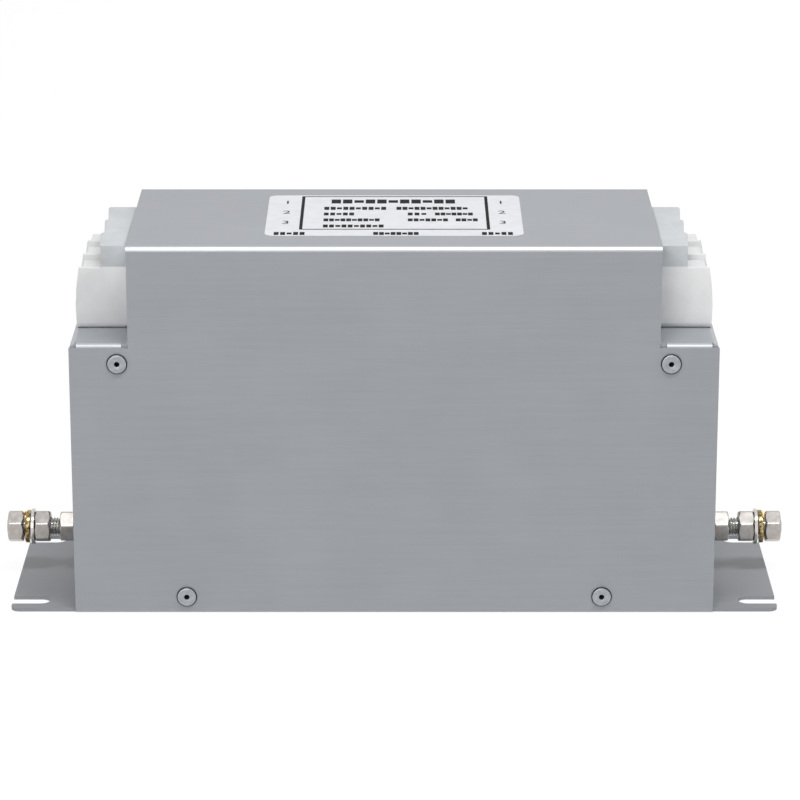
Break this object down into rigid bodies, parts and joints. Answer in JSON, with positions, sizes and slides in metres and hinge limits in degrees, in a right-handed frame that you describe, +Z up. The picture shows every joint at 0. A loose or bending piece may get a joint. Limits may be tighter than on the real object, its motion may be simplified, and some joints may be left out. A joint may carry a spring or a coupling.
{
  "type": "three-line emi filter",
  "caption": "Line filter in a stepped sheet metal case with slotted feet, screw clamp terminal blocks under touch guards, and an earth stud at each end.",
  "frame": {"origin": "centre of the case's footprint, on the mounting surface", "axes": "+X from the line end to the load end, +Z up, -Y towards the front"},
  "size_m": [0.3492, 0.107, 0.1662],
  "materials": {
    "sheet": "zinc-coated sheet steel, smooth, satin",
    "rivet": "steel, zinc plated, satin",
    "label": "printed polyester film, satin",
    "housing": "moulded polyamide, white, satin",
    "guard": "moulded polyamide, light grey, satin",
    "fastener": "steel, zinc plated",
    "spring": "spring steel, yellow chromated",
    "liner": "insulating film",
    "black_plastic": "moulded, black",
    "core": "ferrite, sintered",
    "copper": "copper, bare or enamelled",
    "board": "glass fibre laminate, green lacquer",
    "x_capacitor": "moulded case",
    "y_capacitor": "dipped coating",
    "resistor": "lacquered film body"
  },
  "bodies": {
    "root": {"base_plate": "sheet", "cover": "sheet", "line_end_bracket": "sheet", "load_end_bracket": "sheet", "front_rivets": "rivet", "rear_rivets": "rivet", "rating_label": "label", "line_pole_housing_1": "housing", "line_pole_housing_2": "housing", "line_pole_housing_3": "housing", "load_pole_housing_1": "housing", "load_pole_housing_2": "housing", "load_pole_housing_3": "housing", "line_touch_guard": "guard", "load_touch_guard": "guard", "line_clamp_cages": "fastener", "load_clamp_cages": "fastener", "line_clamp_screws": "fastener", "load_clamp_screws": "fastener", "line_feed_bars": "copper", "load_feed_bars": "copper", "line_retaining_plate": "liner", "load_retaining_plate": "liner", "line_earth_stud": "fastener", "load_earth_stud": "fastener", "line_wall_washer": "fastener", "load_wall_washer": "fastener", "line_lock_washer": "fastener", "load_lock_washer": "fastener", "line_inner_nut": "fastener", "load_inner_nut": "fastener", "line_middle_nut": "fastener", "load_middle_nut": "fastener", "line_plain_washer": "fastener", "load_plain_washer": "fastener", "line_spring_washer": "spring", "load_spring_washer": "spring", "line_outer_nut": "fastener", "load_outer_nut": "fastener", "insulating_liner": "liner", "choke_base": "black_plastic", "choke_core": "core", "choke_case": "black_plastic", "choke_winding_1": "copper", "choke_winding_2": "copper", "choke_winding_3": "copper", "choke_clamp_disc": "black_plastic", "choke_bolt": "fastener", "circuit_board": "board", "board_spacers": "fastener", "board_screws": "fastener", "line_x_capacitors": "x_capacitor", "load_x_capacitors": "x_capacitor", "y_capacitor": "y_capacitor", "discharge_resistors": "resistor", "line_links": "copper", "load_links": "copper"}
  },
  "joints": []
}
